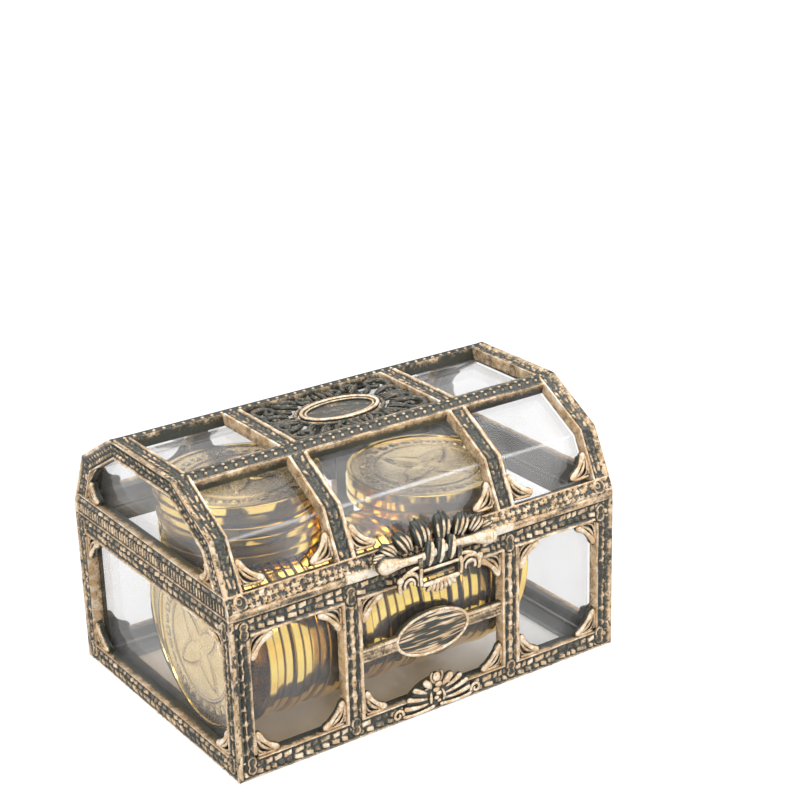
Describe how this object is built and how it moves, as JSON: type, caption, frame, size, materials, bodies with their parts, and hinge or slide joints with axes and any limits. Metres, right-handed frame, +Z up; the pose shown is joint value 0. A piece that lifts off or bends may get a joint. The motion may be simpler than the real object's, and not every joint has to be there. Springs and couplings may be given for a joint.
{
  "type": "treasure chest ornament",
  "caption": "Hinged treasure chest ornament: clear walls in an antiqued openwork frame, a faceted lid with a clasp, and a heap of play coins inside.",
  "frame": {"origin": "middle of the footprint, on the ground plane", "axes": "+X to the right seen from the front, -Y towards the front with the clasp, +Z up"},
  "size_m": [0.096, 0.0736, 0.0588],
  "materials": {
    "frame_plastic": "dark moulded plastic, dry-brushed bronze on the raised ornament",
    "bronze_relief": "dark moulded plastic with worn bronze paint",
    "clear_plastic": "clear moulded plastic",
    "gold_coin": "bright metallised gold plastic",
    "pin_steel": "plain steel wire"
  },
  "bodies": {
    "base": {"base_frame": "frame_plastic", "base_liner": "clear_plastic", "catch_nub": "frame_plastic", "front_strap": "bronze_relief", "strap_plaque": "bronze_relief", "bottom_crest": "bronze_relief", "base_brackets_front": "bronze_relief", "base_brackets_back": "bronze_relief", "base_brackets_left": "bronze_relief", "base_brackets_right": "bronze_relief", "hinge_leaf_base_left": "frame_plastic", "hinge_leaf_base_right": "frame_plastic", "hinge_pin_left": "pin_steel", "hinge_pin_right": "pin_steel", "coins_row_left": "gold_coin", "coins_row_middle": "gold_coin", "coins_row_right": "gold_coin", "coins_heap_left": "gold_coin", "coins_heap_middle": "gold_coin"},
    "lid": {"lid_frame": "frame_plastic", "lid_liner": "clear_plastic", "lid_filigree": "bronze_relief", "crown_cartouche": "bronze_relief", "clasp": "bronze_relief", "lid_brackets_front": "bronze_relief", "lid_brackets_back": "bronze_relief", "lid_brackets_left": "bronze_relief", "lid_brackets_right": "bronze_relief", "hinge_leaf_lid_left": "frame_plastic", "hinge_leaf_lid_right": "frame_plastic"}
  },
  "joints": [
    {"name": "lid_hinge", "type": "hinge", "parent": "base", "child": "lid", "pos_m": [0, 0.0353, 0.0354], "axis": [-1, 0, 0], "range_deg": [0, 100]}
  ]
}
